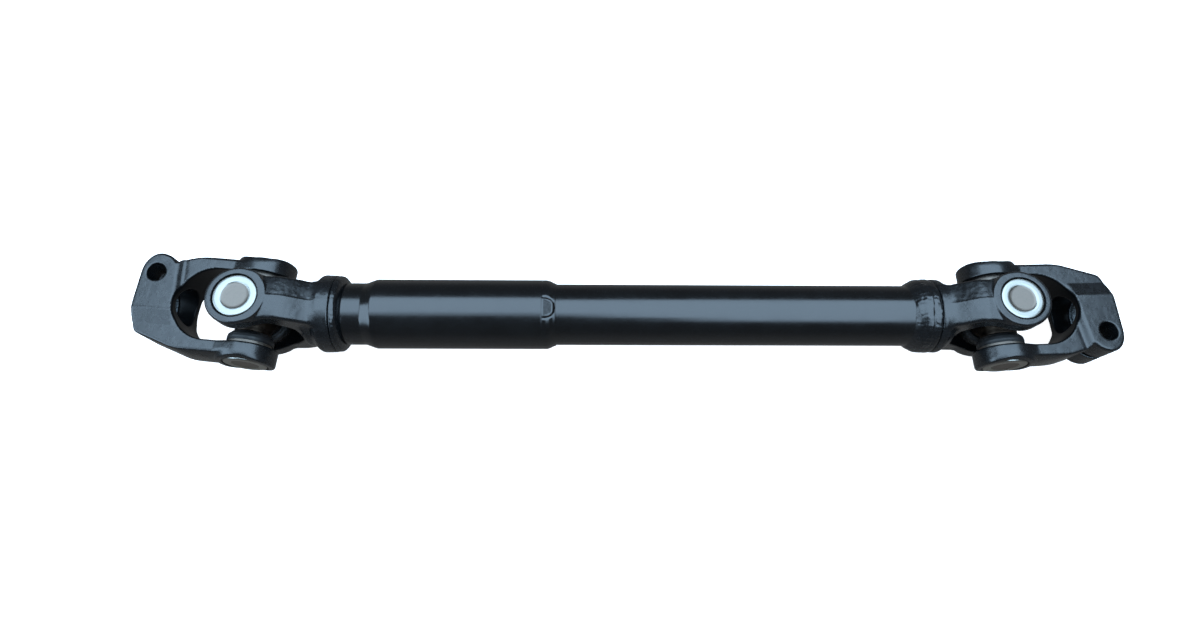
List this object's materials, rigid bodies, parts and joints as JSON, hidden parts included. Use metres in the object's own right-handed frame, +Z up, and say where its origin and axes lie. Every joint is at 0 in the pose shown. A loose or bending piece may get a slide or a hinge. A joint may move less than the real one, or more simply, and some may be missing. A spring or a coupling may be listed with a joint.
{
  "type": "universal joint shaft",
  "caption": "Telescopic drive shaft with a cross joint at each end; each outer yoke clamps a splined shaft with a cross bolt.",
  "frame": {"origin": "middle of the underside of the whole shaft, on the surface it lies on", "axes": "+X along the shaft from the sleeve end to the slide end, +Z up, the inner yokes' ears at +Z and -Z"},
  "size_m": [0.5576, 0.0642, 0.062],
  "materials": {
    "black_enamel": "glossy black enamel on forged and drawn steel",
    "ground_steel": "ground bearing steel",
    "forged_steel": "bare forged steel, brown oxide",
    "nitrile_rubber": "matt black moulded rubber",
    "nylon": "cream nylon, moulded or coated"
  },
  "bodies": {
    "sleeve_shaft": {"sleeve_tube": "black_enamel", "left_inner_yoke": "black_enamel", "left_weld": "black_enamel", "splined_bush": "ground_steel", "wiper_seal": "nitrile_rubber", "left_inner_upper_cup": "ground_steel", "left_inner_upper_needles": "ground_steel", "left_inner_upper_thrust_washer": "nylon", "left_inner_lower_cup": "ground_steel", "left_inner_lower_needles": "ground_steel", "left_inner_lower_thrust_washer": "nylon"},
    "left_cross": {"left_cross": "forged_steel", "left_inner_upper_seal": "nitrile_rubber", "left_inner_lower_seal": "nitrile_rubber", "left_outer_front_seal": "nitrile_rubber", "left_outer_rear_seal": "nitrile_rubber"},
    "left_outer_yoke": {"left_outer_yoke": "black_enamel", "left_outer_front_cup": "ground_steel", "left_outer_front_needles": "ground_steel", "left_outer_front_thrust_washer": "nylon", "left_outer_rear_cup": "ground_steel", "left_outer_rear_needles": "ground_steel", "left_outer_rear_thrust_washer": "nylon"},
    "slide_shaft": {"slide_tube": "black_enamel", "splined_stub": "nylon", "right_inner_yoke": "black_enamel", "right_weld": "black_enamel", "right_inner_upper_cup": "ground_steel", "right_inner_upper_needles": "ground_steel", "right_inner_upper_thrust_washer": "nylon", "right_inner_lower_cup": "ground_steel", "right_inner_lower_needles": "ground_steel", "right_inner_lower_thrust_washer": "nylon"},
    "right_cross": {"right_cross": "forged_steel", "right_inner_upper_seal": "nitrile_rubber", "right_inner_lower_seal": "nitrile_rubber", "right_outer_front_seal": "nitrile_rubber", "right_outer_rear_seal": "nitrile_rubber"},
    "right_outer_yoke": {"right_outer_yoke": "black_enamel", "right_outer_front_cup": "ground_steel", "right_outer_front_needles": "ground_steel", "right_outer_front_thrust_washer": "nylon", "right_outer_rear_cup": "ground_steel", "right_outer_rear_needles": "ground_steel", "right_outer_rear_thrust_washer": "nylon"}
  },
  "joints": [
    {"name": "slip", "type": "slide", "parent": "sleeve_shaft", "child": "slide_shaft", "axis": [1, 0, 0], "range_m": [-0.02, 0.02]},
    {"name": "left_cross_swing", "type": "hinge", "parent": "sleeve_shaft", "child": "left_cross", "pos_m": [-0.21459, 0, 0.031], "axis": [0, 0, 1], "range_deg": [-20, 30]},
    {"name": "left_yoke_swing", "type": "hinge", "parent": "left_cross", "child": "left_outer_yoke", "pos_m": [-0.21459, 0, 0.031], "axis": [0.0872, 0.9962, 0], "range_deg": [-25, 25]},
    {"name": "right_cross_swing", "type": "hinge", "parent": "slide_shaft", "child": "right_cross", "pos_m": [0.21441, 0, 0.031], "axis": [0, 0, 1], "range_deg": [-26.5, 23.5]},
    {"name": "right_yoke_swing", "type": "hinge", "parent": "right_cross", "child": "right_outer_yoke", "pos_m": [0.21441, 0, 0.031], "axis": [-0.0262, 0.9997, 0], "range_deg": [-25, 25]}
  ]
}
